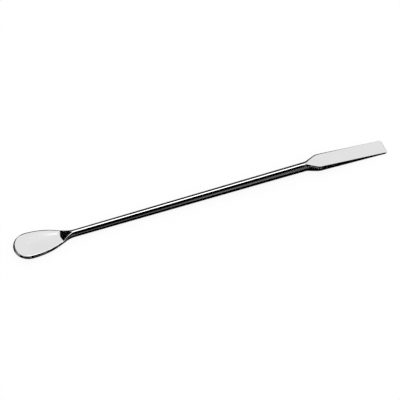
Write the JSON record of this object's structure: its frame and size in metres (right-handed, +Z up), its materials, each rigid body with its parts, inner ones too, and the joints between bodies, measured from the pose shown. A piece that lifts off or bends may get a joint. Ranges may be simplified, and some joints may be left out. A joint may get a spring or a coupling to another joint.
{
  "type": "laboratory spatula",
  "caption": "Slender polished steel laboratory spatula, forged in one piece: a shallow egg-shaped spoon at one end and a flat tapering blade with a square end at the other.",
  "frame": {"origin": "on the bench, under the middle of the overall length and width", "axes": "+X along the length from the spoon to the blade, +Y across it, +Z up from the bench, with the dish of the spoon facing up"},
  "size_m": [0.2, 0.0156, 0.005],
  "materials": {
    "polished_steel": "mirror-polished stainless steel, a little softer on the two flats"
  },
  "bodies": {
    "root": {"spatula": "polished_steel"}
  },
  "joints": []
}
